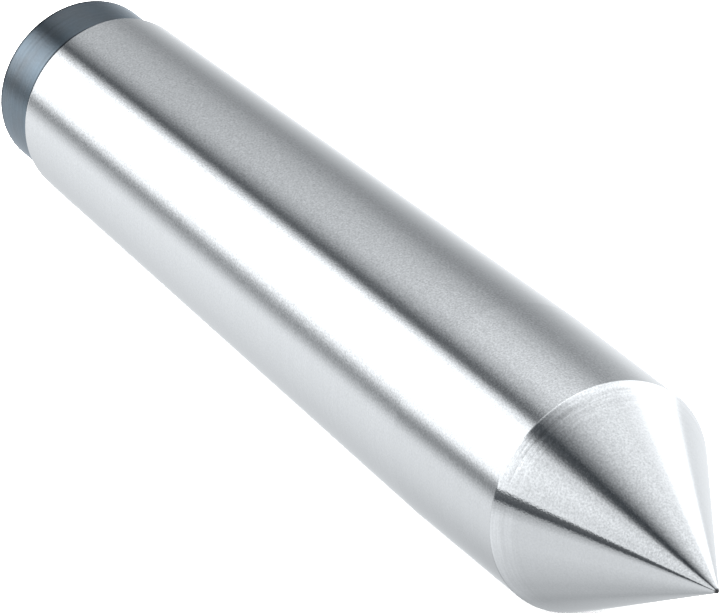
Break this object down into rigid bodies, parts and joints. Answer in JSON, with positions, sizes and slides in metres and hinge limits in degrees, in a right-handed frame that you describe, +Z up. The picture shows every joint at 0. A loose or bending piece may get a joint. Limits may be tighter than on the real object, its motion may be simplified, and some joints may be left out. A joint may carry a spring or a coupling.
{
  "type": "fixed lathe centre with morse taper shank",
  "caption": "Solid 60 degree lathe centre: ground Morse taper shank, short plain cylindrical head, conical point and a blackened rear tenon.",
  "frame": {"origin": "on the axis at the Morse No. 3 gauge plane, 5 mm behind the cylindrical head", "axes": "+X along the axis towards the point, +Z up"},
  "size_m": [0.1248, 0.024, 0.024],
  "materials": {
    "ground_cone": "fine ground, circumferential scratches",
    "ground_head": "fine ground, circumferential scratches",
    "ground_taper": "fine ground, circumferential scratches",
    "blackened_steel": "turned and blackened, blue-grey oxide"
  },
  "bodies": {
    "root": {"point_cone": "ground_cone", "head_cylinder": "ground_head", "morse_taper_shank": "ground_taper", "rear_tenon": "blackened_steel"}
  },
  "joints": []
}
